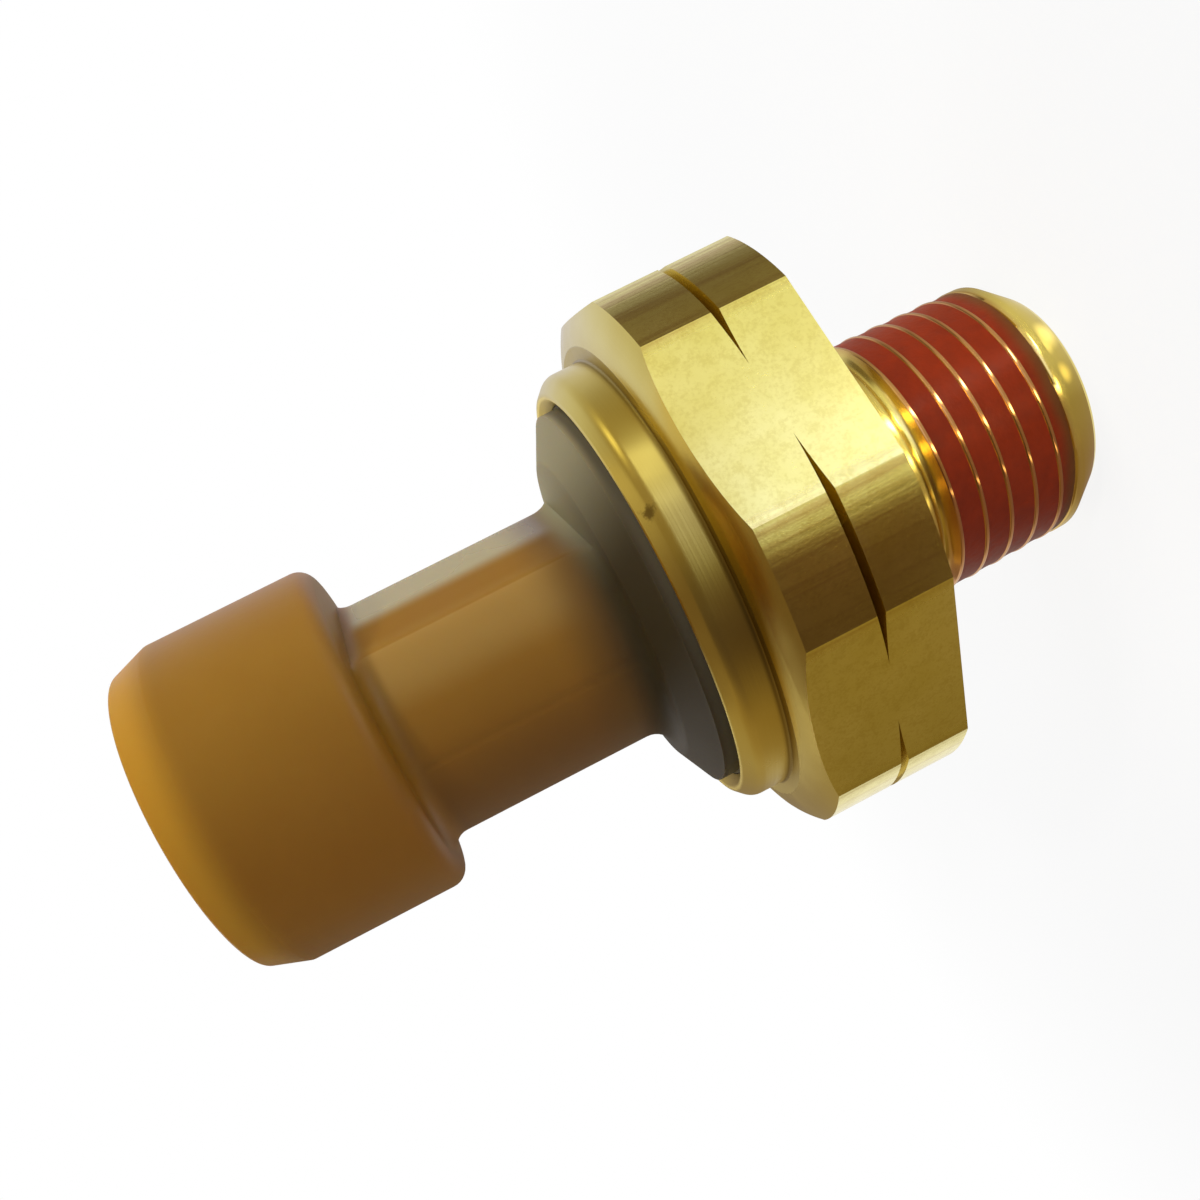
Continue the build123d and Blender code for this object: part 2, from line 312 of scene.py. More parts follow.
# %% Colours of the screen
WHITE = (1.0, 1.0, 1.0)
LOW_STOPS = (
    (-180, (0.31, 0.22, 0.08)), (-160, (0.31, 0.22, 0.08)), (-150, (0.10, 0.06, 0.035)),
    (-132, (0.11, 0.06, 0.03)), (-119, (0.15, 0.08, 0.035)), (-114, (0.55, 0.48, 0.28)),
    (-110, (0.98, 1.04, 1.0)), (-106, (1.1, 1.2, 1.4)), (-92, (1.42, 1.58, 2.6)),
    (-80, (1.36, 1.5, 2.4)), (-73, (1.02, 1.03, 1.0)), (-60, (0.97, 1.0, 0.85)),
    (-52, (0.90, 0.90, 0.80)), (-44, (0.20, 0.15, 0.10)), (-16, (0.18, 0.145, 0.11)),
    (-4, (0.84, 0.85, 0.95)), (60, WHITE), (138, WHITE),
    (150, (0.22, 0.15, 0.06)), (175, (0.25, 0.18, 0.07)), (180, (0.31, 0.22, 0.08)))
HIGH_STOPS = (
    (-180, (0.35, 0.25, 0.13)), (-160, (0.15, 0.10, 0.06)), (-140, (0.07, 0.045, 0.04)),
    (-112, (0.14, 0.10, 0.06)), (-99, (0.27, 0.20, 0.10)), (-75, (0.36, 0.28, 0.18)),
    (-40, (0.40, 0.32, 0.18)), (-24, (0.45, 0.40, 0.32)), (-5, (0.70, 0.70, 0.75)),
    (22, (0.80, 0.83, 1.10)), (45, (0.60, 0.56, 0.50)), (80, (0.30, 0.24, 0.18)),
    (97, (0.20, 0.15, 0.11)), (112, (0.28, 0.22, 0.16)), (145, (0.45, 0.37, 0.25)),
    (165, (0.37, 0.27, 0.14)), (180, (0.35, 0.25, 0.13)))
MAT_STOPS = (
    (-180, (0.32, 0.23, 0.20)), (-150, (0.33, 0.24, 0.20)), (-120, (0.40, 0.33, 0.24)),
    (-98, (0.72, 0.68, 0.60)), (-60, (0.80, 0.76, 0.66)), (-20, (0.45, 0.38, 0.28)),
    (60, (0.85, 0.82, 0.76)), (140, (0.75, 0.70, 0.60)), (180, (0.32, 0.23, 0.20)))
LID_DARK = (0.17, 0.11, 0.06, 1)
LID_PALE = (0.74, 0.64, 0.45, 1)


def around(finish, stops):
    """A colour that follows the angle round the axis, from stops in degrees."""
    turn = finish.math_of("ARCTAN2", finish.y, finish.x) / (2 * pi) + 0.5
    places = [((angle + 180) / 360, (*shade, 1)) for angle, shade in stops]
    return finish.ramp(turn, *places)


print("stops below, above and on the mat:", len(LOW_STOPS), len(HIGH_STOPS), len(MAT_STOPS))

# %% Screen for the reflections
SCREEN_RADIUS = 0.034
SCREEN_HEIGHT = 0.062
MAT_LEVEL = 0.0002
MAT_FADE = 0.0003
LOW_BAND_TOP = 0.0147
HIGH_BAND_START = 0.0166
LID_SHADE = (-0.012, 0.029)
BROWN_GLOW = (0.50, 0.38, 0.20, 1)
# Each spot: angle, distance from the axis, height and radius in millimetres, and its light
SPOTS = (
    (-62.0, 34, 18.8, 3.6, (2.5, 2.5, 2.4, 1)),
    (-70.0, 34, 18.8, 3.4, (2.3, 2.3, 2.1, 1)),
    (-81.0, 34, 18.6, 2.4, (2.8, 3.0, 3.6, 1)),
    (-47.0, 34, 32, 8.0, (2.2, 2.0, 1.2, 1)),
    (-159.0, 23, 62.2, 3.0, BROWN_GLOW),
    (178.0, 29, 62.2, 5.0, BROWN_GLOW),
    (156.0, 34, 52, 5.0, BROWN_GLOW),
    (-86.0, 6.3, 0.2, 1.1, (1.9, 1.8, 1.5, 1)),
    (-91.0, 6.9, 0.2, 0.8, (1.7, 1.6, 1.3, 1)),
    (-107.0, 6.6, 0.2, 0.8, (1.6, 1.4, 0.9, 1)),
)
SPOT_CORE = 0.1
# Each stripe: angle, half its width in millimetres, and its light
STRIPES = (
    (-82.0, 1.2, (16.0, 15.5, 13.0, 1)),
    (-111.0, 0.9, (14.0, 12.5, 8.0, 1)),
    (-145.0, 0.6, (4.0, 3.4, 2.0, 1)),
)
STRIPE_CORE = 0.4
STRIPE_START = (0.010, 0.012)


def stand_screen():
    """A closed drum round the part, glowing in its own colours, for reflections alone."""
    bpy.ops.mesh.primitive_cylinder_add(vertices=128, radius=SCREEN_RADIUS, depth=SCREEN_HEIGHT,
                                        location=(0, 0, SCREEN_HEIGHT / 2 + MAT_LEVEL))
    drum = bpy.context.object
    drum.name = "reflection_screen"
    bpy.ops.object.transform_apply(location=True)
    glow = Finish("screen_glow", roughness=1.0, Specular_IOR_Level=0.0, Emission_Strength=1.0)
    glow.shader.inputs["Base Color"].default_value = (0, 0, 0, 1)
    band = glow.between(glow.z, LOW_BAND_TOP, HIGH_BAND_START)
    tone = glow.mix(band, around(glow, LOW_STOPS), around(glow, HIGH_STOPS))
    lid = glow.between(glow.z, SCREEN_HEIGHT - MAT_LEVEL, SCREEN_HEIGHT)
    tone = glow.mix(lid, tone, glow.mix(glow.between(glow.x, *LID_SHADE), LID_DARK, LID_PALE))
    mat = 1 - glow.between(glow.z, MAT_LEVEL, MAT_LEVEL + MAT_FADE)
    tone = glow.mix(mat, tone, around(glow, MAT_STOPS))
    for angle, out, height, radius, light in SPOTS:
        place = Vector((out * cos(radians(angle)), out * sin(radians(angle)), height)) * MM
        away = glow.distance_to(place)
        tone = glow.mix(1 - glow.between(away, SPOT_CORE * radius * MM, radius * MM), tone, light)
    for angle, width, light in STRIPES:
        aside = glow.math_of("ABSOLUTE", glow.beside(angle))
        lit = 1 - glow.between(aside, STRIPE_CORE * width * MM, width * MM)
        lit = lit * glow.between(glow.along(angle), *STRIPE_START)
        tone = glow.mix(lit * mat, tone, light)
    glow.feed("Emission Color", tone)
    drum.data.materials.append(glow.material)
    drum.visible_camera = False
    drum.visible_diffuse = False
    drum.visible_shadow = False
    drum.visible_transmission = False


stand_screen()
print("screen stands", SCREEN_RADIUS / MM, "mm from the axis")

# %% [markdown]
# A wide lamp on the +X side lights what is the upper side of the picture, and two small ones fill
# in from the front. Reflections don't show these three, because the screen gives the brass all its
# bright places. One more lamp behind serves the other views.

# %% Lamps
MIDDLE = Vector((0, 0, 23)) * MM


def add_lamp(name, azimuth, elevation, distance, width, height, watts):
    """A rectangular lamp that shines at the middle of the part."""
    direction = Vector((cos(radians(elevation)) * cos(radians(azimuth)),
                        cos(radians(elevation)) * sin(radians(azimuth)),
                        sin(radians(elevation))))
    data = bpy.data.lights.new(name, "AREA")
    data.shape = "RECTANGLE"
    data.size = width
    data.size_y = height
    data.energy = watts
    lamp = bpy.data.objects.new(name, data)
    bpy.context.scene.collection.objects.link(lamp)
    lamp.location = MIDDLE + direction * distance
    lamp.rotation_euler = direction.to_track_quat("Z", "Y").to_euler()
    return lamp


add_lamp("key_lamp", -35, 18, 0.40, 0.25, 0.15, 0.9).visible_glossy = False
add_lamp("spark_lamp_upper", -80, 34, 0.30, 0.035, 0.035, 0.16).visible_glossy = False
add_lamp("spark_lamp_lower", -110, 30, 0.30, 0.035, 0.035, 0.08).visible_glossy = False
add_lamp("back_lamp", 80, 40, 0.50, 0.30, 0.20, 0.75)

# %% [markdown]
# Sizes come next. They are the ones that the solids were built from, so a piece modelled here
# stays exactly where its solid is. All are in millimetres and become metres when a mesh is made.

# %% Sizes of the thread and the brass body
PITCH = 25.4 / 18
THREAD_TAPER = 1 / 32
THREAD_TIP_RADIUS = 6.63
THREAD_DEPTH = 0.73 * PITCH
LEAD_IN = 1.5
LEAD_IN_WIDTH = 1.15
THREAD_LOW = LEAD_IN
THREAD_HIGH = 11.4
CREST_HEIGHT = 9.056
STEM = 13.0
HEX_HALF = 13.5
HEX_CORNER = 14.28
HEX_FACE = 20.702
GROOVE_MIDDLE = 16.33
GROOVE_HALF = 0.2
GROOVE_DEPTH = 0.67
LAND_TOP = 19.8
CROWN_ARC = 6.0
CROWN_INNER = 12.3
BEAD = 11.6
CUP = 10.75
RIM_TOP = 22.0
LIP_REACH = 0.5
LIP_THICKNESS = 0.85
ELEMENT_TOP = 19.6
POCKET = 9.9
CUP_FLOOR = 15.0
GLAND_OUTER = 8.0
GLAND_INNER = 5.0
GLAND_DEPTH = 0.4
PORT = 2.5
PORT_CHAMFER = 0.4
STEPS = 192
print("thread depth", round(THREAD_DEPTH, 3), "mm, pitch", round(PITCH, 3), "mm")


# %% [markdown]
# A turned piece is made as on a lathe. One vertex is extruded along half of the section,
# and the chain of edges is then spun once round the Z axis. Rounded corners come from a small
# helper that replaces a corner of the section with points on an arc.

# %% Helpers for turned pieces
MERGE = 1e-7


def crest(height):
    """Radius over the thread's crests."""
    return THREAD_TIP_RADIUS + height * THREAD_TAPER


def rounded(points, corners, count=6):
    """The section with some of its corners rounded, each named by its place in the list."""
    result = []
    for index, point in enumerate(points):
        if index not in corners:
            result.append(point)
            continue
        here = Vector(point)
        before = Vector(points[index - 1]) - here
        after = Vector(points[(index + 1) % len(points)]) - here
        half = before.angle(after) / 2
        reach = corners[index] / tan(half)
        inward = (before.normalized() + after.normalized()).normalized()
        centre = here + inward * corners[index] / sin(half)
        start = here + before.normalized() * reach - centre
        end = here + after.normalized() * reach - centre
        sweep = start.angle(end)
        for step in range(count + 1):
            blend = step / count
            spoke = (start * sin((1 - blend) * sweep) + end * sin(blend * sweep)) / sin(sweep)
            result.append(tuple(centre + spoke))
    return result


def arc_between(start, end, radius, count):
    """Points on an arc that bulges away from the axis, without its two ends."""
    start, end = Vector(start), Vector(end)
    middle = (start + end) / 2
    chord = end - start
    inward = Vector((-chord.y, chord.x)).normalized()
    centre = middle + inward * sqrt(radius ** 2 - (chord.length / 2) ** 2)
    first, last = start - centre, end - centre
    sweep = first.angle(last)
    spokes = [(first * sin((1 - k / count) * sweep) + last * sin(k / count * sweep)) / sin(sweep)
              for k in range(1, count)]
    return [tuple(centre + spoke) for spoke in spokes]


def start_vertex(name, place):
    """A new mesh in edit mode that holds one vertex."""
    bpy.ops.object.select_all(action="DESELECT")
    bpy.ops.mesh.primitive_plane_add(size=MM, location=(0, 0, 0))
    piece = bpy.context.object
    piece.name = name
    bpy.ops.object.mode_set(mode="EDIT")
    bpy.ops.mesh.merge(type="CENTER")
    bpy.ops.transform.translate(value=Vector(place) * MM)
    return piece


def draw_chain(points, closed):
    """Extrudes the one selected vertex from point to point."""
    for before, after in zip(points, points[1:]):
        step = (Vector(after) - Vector(before)) * MM
        bpy.ops.mesh.extrude_region_move(TRANSFORM_OT_translate={"value": step})
    if closed:
        bpy.ops.mesh.select_all(action="SELECT")
        bpy.ops.mesh.remove_doubles(threshold=MERGE)


def turned(name, section, closed=True):
    """A solid of revolution, still in edit mode, from points of radius and height."""
    points = [(radius, 0, height) for radius, height in section]
    if closed:
        points.append(points[0])
    piece = start_vertex(name, points[0])
    draw_chain(points, closed)
    bpy.ops.mesh.select_all(action="SELECT")
    bpy.ops.mesh.spin(steps=STEPS, angle=2 * pi, center=(0, 0, 0), axis=(0, 0, 1))
    bpy.ops.mesh.select_all(action="SELECT")
    bpy.ops.mesh.remove_doubles(threshold=MERGE)
    return piece


def finish_mesh(piece, smooth_angle):
    """Normals outward, and edges sharper than the angle left crisp, or as they are if it is None."""
    bpy.ops.object.mode_set(mode="EDIT")
    bpy.ops.mesh.select_all(action="SELECT")
    bpy.ops.mesh.normals_make_consistent(inside=False)
    bpy.ops.object.mode_set(mode="OBJECT")
    if smooth_angle is not None:
        bpy.ops.object.shade_smooth_by_angle(angle=radians(smooth_angle))
    triangles = sum(len(p.vertices) - 2 for p in piece.data.polygons)
    print(piece.name, "has", triangles, "triangles")


def soft_step(value, low, high):
    """0 under low, 1 over high, and a smooth rise between them."""
    t = min(max((value - low) / (high - low), 0), 1)
    return t * t * (3 - 2 * t)


# %% [markdown]
# The brass body starts as a turned blank that holds everything except the thread:
# tip, port, element cup, rolled lip and the round blank of the hexagon.
# The six flats are then milled by cutting the blank with six planes, which leaves the lands
# at the corners and lets the turned groove run out on each flat, as on the real one.

# %% Section of the brass blank
lip_offset = LIP_THICKNESS * sqrt(0.5)
lip_tip = (CUP - LIP_REACH, RIM_TOP + LIP_REACH)
lip_outer = (lip_tip[0] + lip_offset, lip_tip[1] + lip_offset)
lip_bend = (BEAD, lip_outer[1] - (BEAD - lip_outer[0]))
land_top = (HEX_CORNER, LAND_TOP)
crown_edge = (CROWN_INNER, HEX_FACE)

outer_section = [
    (crest(THREAD_HIGH), THREAD_HIGH),
    (crest(STEM), STEM),
    (HEX_CORNER, STEM),
    (HEX_CORNER, GROOVE_MIDDLE - GROOVE_HALF),
    (HEX_CORNER - GROOVE_DEPTH, GROOVE_MIDDLE),
    (HEX_CORNER, GROOVE_MIDDLE + GROOVE_HALF),
    land_top,
    *arc_between(land_top, crown_edge, CROWN_ARC, count=8),
    crown_edge,
    (BEAD, HEX_FACE),
    lip_bend,
    lip_outer,
    lip_tip,
    (CUP, RIM_TOP),
    (CUP, ELEMENT_TOP),
    (POCKET, ELEMENT_TOP),
    (POCKET, CUP_FLOOR),
    (GLAND_OUTER, CUP_FLOOR),
    (GLAND_OUTER, CUP_FLOOR - GLAND_DEPTH),
    (GLAND_INNER, CUP_FLOOR - GLAND_DEPTH),
    (GLAND_INNER, CUP_FLOOR),
    (PORT, CUP_FLOOR),
    (PORT, PORT_CHAMFER),
    (PORT + PORT_CHAMFER, 0),
    (crest(LEAD_IN) - LEAD_IN_WIDTH, 0),
    (crest(LEAD_IN), LEAD_IN),
]
bend = outer_section.index(lip_bend)
outer_roundings = {1: 0.3, bend - 1: 0.12, bend: 0.8, bend + 1: 0.25, len(outer_section) - 2: 0.12}
outer_section = rounded(outer_section, outer_roundings, count=10)
print("the blank's section has", len(outer_section), "points")


# %% Mill the hexagon's flats
MILL_MERGE = 2e-5
FLAT_NORMALS = [Vector((cos(radians(angle)), sin(radians(angle)), 0)) for angle in range(30, 390, 60)]


def mill_flats(piece):
    """Cuts the blank with six planes and closes each cut with a flat face."""
    for normal in FLAT_NORMALS:
        bpy.ops.mesh.select_all(action="SELECT")
        bpy.ops.mesh.bisect(plane_co=normal * HEX_HALF * MM, plane_no=normal, use_fill=True,
                            clear_outer=True, threshold=MILL_MERGE)


def settle_flats(piece):
    """Moves what the cuts left a hair outside a plane back onto it."""
    for vertex in piece.data.vertices:
        for normal in FLAT_NORMALS:
            over = vertex.co.dot(normal) - HEX_HALF * MM
            if over > 0:
                vertex.co -= normal * over


brass = turned("brass_body_turned", outer_section, closed=False)
mill_flats(brass)
bpy.ops.mesh.select_all(action="SELECT")
bpy.ops.mesh.normals_make_consistent(inside=False)
bpy.ops.object.mode_set(mode="OBJECT")
settle_flats(brass)
bpy.ops.object.shade_smooth_by_angle(angle=radians(12))
print("blank with flats:", len(brass.data.polygons), "faces")

# %% [markdown]
# The thread is one profile, one pitch high, wound round the axis by the Screw modifier.
# Each wound vertex then moves: its depth below the crest is kept in the middle of the thread and
# fades at both ends, the crest follows the taper, and whatever passes the ends is pressed flat
# against them, so that the thread meets the turned blank in two clean rings.

# %% Wind the thread
CREST_FLAT = 0.035
CREST_ARC = 0.1
CREST_ANGLES = (0, 12, 24, 36, 46, 53)
FLANK_FOOT = [(0.30, 0.352), (0.48, 0.663), (0.655, 0.965), (0.69, 1.015)]
flank = [(CREST_FLAT + CREST_ARC * sin(radians(a)), CREST_ARC * (1 - cos(radians(a))))
         for a in CREST_ANGLES]
half_profile = [(0.0, 0.0), *flank, *FLANK_FOOT, (PITCH / 2, THREAD_DEPTH)]
full_profile = half_profile + [(PITCH - run, drop) for run, drop in reversed(half_profile[:-1])]
WIND_RADIUS = 10.0
WIND_START = CREST_HEIGHT - 7 * PITCH
WIND_TURNS = 9
DEEPENS = (1.95, 2.5)
FADES = (7.9, 10.3)


def depth_share(height):
    """Share of the full thread depth at a height: it fades at the tip and towards the hexagon."""
    return soft_step(height, *DEEPENS) * (1 - soft_step(height, *FADES))


def wind(piece, turns):
    """Winds an outline up the Z axis, one pitch a turn."""
    bpy.ops.object.mode_set(mode="OBJECT")
    winding = piece.modifiers.new("winding", "SCREW")
    winding.angle = 2 * pi
    winding.screw_offset = PITCH * MM
    winding.iterations = turns
    winding.steps = STEPS
    winding.render_steps = STEPS
    bpy.ops.object.modifier_apply(modifier=winding.name)


def wind_thread():
    """The thread's surface, open at both ends."""
    points = [(WIND_RADIUS - drop, 0, WIND_START + run) for run, drop in full_profile]
    thread = start_vertex("thread_winding", points[0])
    draw_chain(points, closed=False)
    wind(thread, WIND_TURNS)
    for vertex in thread.data.vertices:
        x, y, z = vertex.co / MM
        drop = WIND_RADIUS - hypot(x, y)
        height = min(max(z, THREAD_LOW), THREAD_HIGH)
        radius = crest(height) - drop * depth_share(height)
        scale = radius / hypot(x, y)
        vertex.co = Vector((x * scale, y * scale, height)) * MM
    return thread


thread = wind_thread()
bpy.ops.object.shade_smooth_by_angle(angle=radians(50))
print("thread winding:", len(thread.data.vertices), "vertices")

# %% Join the thread to the body
JOIN_MERGE = 4e-6
bpy.ops.object.select_all(action="DESELECT")
thread.select_set(True)
brass.select_set(True)
bpy.context.view_layer.objects.active = brass
bpy.ops.object.join()
bpy.ops.object.mode_set(mode="EDIT")
bpy.ops.mesh.select_all(action="SELECT")
bpy.ops.mesh.remove_doubles(threshold=JOIN_MERGE)
bpy.ops.mesh.dissolve_degenerate(threshold=MERGE)
bpy.ops.mesh.select_all(action="DESELECT")
bpy.ops.mesh.select_non_manifold(extend=False, use_non_contiguous=False, use_verts=False)
bpy.ops.object.mode_set(mode="OBJECT")
open_edges = sum(edge.select for edge in brass.data.edges)
print("edges of the brass body left open:", open_edges)
finish_mesh(brass, None)
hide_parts("brass_body")
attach(brass, "root")

# %% [markdown]
# The red sealant is a strip that lies in the thread's groove. It is wound the same way as the thread,
# from a closed section that reaches a little into both flanks and sags between the crests.
# Its lower end is pressed flat where the thread starts, and its upper end sinks into the groove
# over the last part of a turn, as paste does that was wiped on by a wheel.

# %% Wind the sealant
SEALANT_START_ANGLE = 70.0
SEALANT_TURNS = 5
SEALANT_START = 1.95
SEALANT_BELOW_CREST = 0.045
SEALANT_SAG = 0.03
SEALANT_EDGE = 0.07
SEALANT_FOOT = 0.62
SEALANT_POINTS = 10
OUTER_FACE = 0.2
RUN_OUT_STEPS = 34
RUN_OUT_DEPTH = 0.6


def sealant_section():
    """Points of run and drop round the strip, first along its outer face and back along the groove."""
    width = PITCH - 2 * SEALANT_EDGE
    shares = [k / SEALANT_POINTS for k in range(SEALANT_POINTS + 1)]
    outer = [(SEALANT_EDGE + width * k, SEALANT_BELOW_CREST + SEALANT_SAG * sin(pi * k)) for k in shares]
    return outer + [(PITCH - SEALANT_FOOT, THREAD_DEPTH), (SEALANT_FOOT, THREAD_DEPTH)]


def sink_end(strip, ring):
    """Sinks the outer face into the groove over the last steps of the winding."""
    last = len(strip.data.vertices) // ring - 1
    for index, vertex in enumerate(strip.data.vertices):
        away = hypot(vertex.co.x, vertex.co.y) / MM
        if WIND_RADIUS - away < OUTER_FACE:
            sunk = 1 - RUN_OUT_DEPTH * soft_step(index // ring, last - RUN_OUT_STEPS, last) / away
            vertex.co.x *= sunk
            vertex.co.y *= sunk


def wind_sealant():
    """The closed strip of sealant in the thread's groove."""
    angle = radians(SEALANT_START_ANGLE)
    base = CREST_HEIGHT + PITCH * (SEALANT_START_ANGLE - 360) / 360 - SEALANT_TURNS * PITCH
    points = [((WIND_RADIUS - drop) * cos(angle), (WIND_RADIUS - drop) * sin(angle), base + run)
              for run, drop in sealant_section()]
    points.append(points[0])
    strip = start_vertex("thread_sealant_strip", points[0])
    draw_chain(points, closed=True)
    wind(strip, SEALANT_TURNS)
    sink_end(strip, len(points) - 1)
    bpy.ops.object.mode_set(mode="EDIT")
    bpy.ops.mesh.select_all(action="SELECT")
    bpy.ops.mesh.remove_doubles(threshold=MERGE)
    bpy.ops.mesh.select_all(action="DESELECT")
    bpy.ops.mesh.select_non_manifold(extend=False)
    bpy.ops.mesh.fill()
    bpy.ops.object.mode_set(mode="OBJECT")
    for vertex in strip.data.vertices:
        x, y, z = vertex.co / MM
        drop = WIND_RADIUS - hypot(x, y)
        height = max(z, SEALANT_START)
        scale = (crest(height) - drop) / hypot(x, y)
        vertex.co = Vector((x * scale, y * scale, height)) * MM
    return strip


sealant = wind_sealant()
finish_mesh(sealant, 50)
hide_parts("thread_sealant")
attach(sealant, "root")

# %% [markdown]
# The connector housing is turned in the same way, from the flange under the lip to the open mouth.
# The flat for the plug's latch is pressed into the neck by moving every vertex that lies outside
# the flat's plane back onto it, with a soft edge, as a mould would leave it.

# %% Section of the connector housing
FLANGE = 10.7
THROAT = 10.1
FLANGE_TOP = 24.45
COLLAR_TOP = 24.6
CONE_TOP = 8.1
NECK = 6.47
SHOULDER = 36.75
HEAD = 8.67
MOUTH = 47.25
MOUTH_RADIUS = 7.97
TAPER_START = 45.25
SOCKET = 7.15
SOCKET_FLOOR = 38.0
WELL_TOP = 33.0
WELL = 4.2
ROOF = 23.4
UPPER_CHAMBER = 7.205
BOARD_TOP = 21.9
CHAMBER = 8.205
SEAL_LAND = 9.855
SEAL_CEILING = 20.4
LATCH_ANGLE = -43.75
LATCH_DISTANCE = 5.22
LATCH_SOFTNESS = 0.12
LATCH_MARGIN = 0.02
NECK_WALL = WELL + 0.5
NECK_END = 1.0
NECK_RINGS = 12
FLANGE_BEVEL = 0.6
CONE_SLOPE = 26.6
THROAT_HEIGHT = FLANGE_TOP - (THROAT - CONE_TOP) * tan(radians(CONE_SLOPE))

neck_span = SHOULDER - COLLAR_TOP - 2 * NECK_END
neck_heights = [COLLAR_TOP + NECK_END + neck_span * k / NECK_RINGS for k in range(1, NECK_RINGS)]
housing_corners = {
    (CONE_TOP, FLANGE_TOP): 0.9, (NECK, COLLAR_TOP): 1.2, (NECK, SHOULDER): 0.9,
    (HEAD, SHOULDER): 0.9, (HEAD, TAPER_START): 0.5, (MOUTH_RADIUS, MOUTH): 0.3, (SOCKET, MOUTH): 0.15,
    (SOCKET, SOCKET_FLOOR): 0.4,
}
housing_section = [
    (CHAMBER, ELEMENT_TOP), (SEAL_LAND, ELEMENT_TOP), (SEAL_LAND, SEAL_CEILING), (FLANGE, SEAL_CEILING),
    (FLANGE, RIM_TOP), (THROAT, RIM_TOP + FLANGE_BEVEL), (THROAT, THROAT_HEIGHT), (CONE_TOP, FLANGE_TOP),
    (NECK, COLLAR_TOP),
    *[(NECK, height) for height in neck_heights],
    (NECK, SHOULDER), (HEAD, SHOULDER), (HEAD, TAPER_START), (MOUTH_RADIUS, MOUTH), (SOCKET, MOUTH),
    (SOCKET, SOCKET_FLOOR), (0, SOCKET_FLOOR), (0, WELL_TOP), (WELL, WELL_TOP), (WELL, ROOF),
    (UPPER_CHAMBER, ROOF), (UPPER_CHAMBER, BOARD_TOP), (CHAMBER, BOARD_TOP),
]
roundings = {housing_section.index(corner): radius for corner, radius in housing_corners.items()}
housing_section = rounded(housing_section, roundings, count=8)
print("the housing's section has", len(housing_section), "points")


# %% Turn the housing and press the latch flat
def press_latch_flat(piece):
    """Moves the neck's vertices onto the flat's plane, with a soft edge."""
    for vertex in piece.data.vertices:
        x, y, z = vertex.co / MM
        radius = hypot(x, y)
        if not COLLAR_TOP + LATCH_MARGIN < z < SHOULDER - LATCH_MARGIN or radius < NECK_WALL:
            continue
        across = radius * cos(atan2(y, x) - radians(LATCH_ANGLE))
        if across <= 0:
            continue
        gap = across - LATCH_DISTANCE
        soft = LATCH_DISTANCE + (gap - sqrt(gap * gap + LATCH_SOFTNESS * LATCH_SOFTNESS)) / 2
        if soft < across:
            vertex.co = Vector((x * soft / across, y * soft / across, z)) * MM


housing = turned("connector_housing_moulding", housing_section)
bpy.ops.object.mode_set(mode="OBJECT")
press_latch_flat(housing)
finish_mesh(housing, 40)
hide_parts("connector_housing")
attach(housing, "root")

# %% [markdown]
# The socket's three ribs line up with the pins and guide the plug. One is wider, as the key.
# Each is a block that reaches a little into the wall, with soft edges for the plug to slide past.

# %% Ribs in the socket
RIB_HEIGHT = 0.85
RIB_ROOT = 0.4
RIB_TOP = MOUTH - 1.75
RIB_EDGE = 0.15


def add_rib(number, angle, width):
    """One rib at an angle in degrees, a block with soft edges."""
    depth = RIB_HEIGHT + RIB_ROOT
    bpy.ops.object.select_all(action="DESELECT")
    bpy.ops.mesh.primitive_cube_add(size=1, location=(0, 0, 0))
    rib = bpy.context.object
    rib.name = f"socket_rib_{number}"
    rib.location = Vector((SOCKET - RIB_HEIGHT + depth / 2, 0, (SOCKET_FLOOR + RIB_TOP) / 2)) * MM
    rib.scale = Vector((depth, width, RIB_TOP - SOCKET_FLOOR)) * MM
    bpy.ops.object.transform_apply(location=True, rotation=False, scale=True)
    edges = rib.modifiers.new("soft_edges", "BEVEL")
    edges.width = RIB_EDGE * MM
    edges.segments = 3
    bpy.ops.object.modifier_apply(modifier=edges.name)
    rib.rotation_euler.z = radians(angle)
    bpy.ops.object.transform_apply(location=False, rotation=True, scale=False)
    finish_mesh(rib, 30)
    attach(rib, "root")
    return rib


ribs = [add_rib(1, 90, 2.0), add_rib(2, 210, 1.2), add_rib(3, 330, 1.2)]
print("ribs reach from", SOCKET_FLOOR, "to", RIB_TOP, "mm")

# %% [markdown]
# Finishes come last. Each one starts from two near tones of its material and adds what the real
# surface shows, and some add painted light and shade as well. Brass needs two: the flats and the
# rounded corners were drawn as a bar and are streaked along the axis, and all the rest was turned and
# carries fine rings.

# %% Brass, turned
RING_SCALE = 9000
GROOVE_EDGE = span(0.12, 0.22)
GROOVE_REACH = span(12.8, 13.0)
SEAM_RISE = span(HEX_FACE - 0.02, HEX_FACE + 0.01)
SEAM_FALL = span(HEX_FACE + 0.05, HEX_FACE + 0.35)
ROLLED_RISE = span(HEX_FACE + 0.05, HEX_FACE + 0.3)
SMEAR_RISE = span(1.7, 2.3)
SMEAR_FALL = span(8.6, 9.4)
NICK = Vector((-1.11, -11.35, 22.54)) * MM
NICK_EDGE = span(0.6, 1.1)


def brass_tone(finish, first, second, scale):
    """Slow changes of colour, as a film of oxide gives them."""
    return finish.mix(finish.noise(scale, detail=3), first, second)


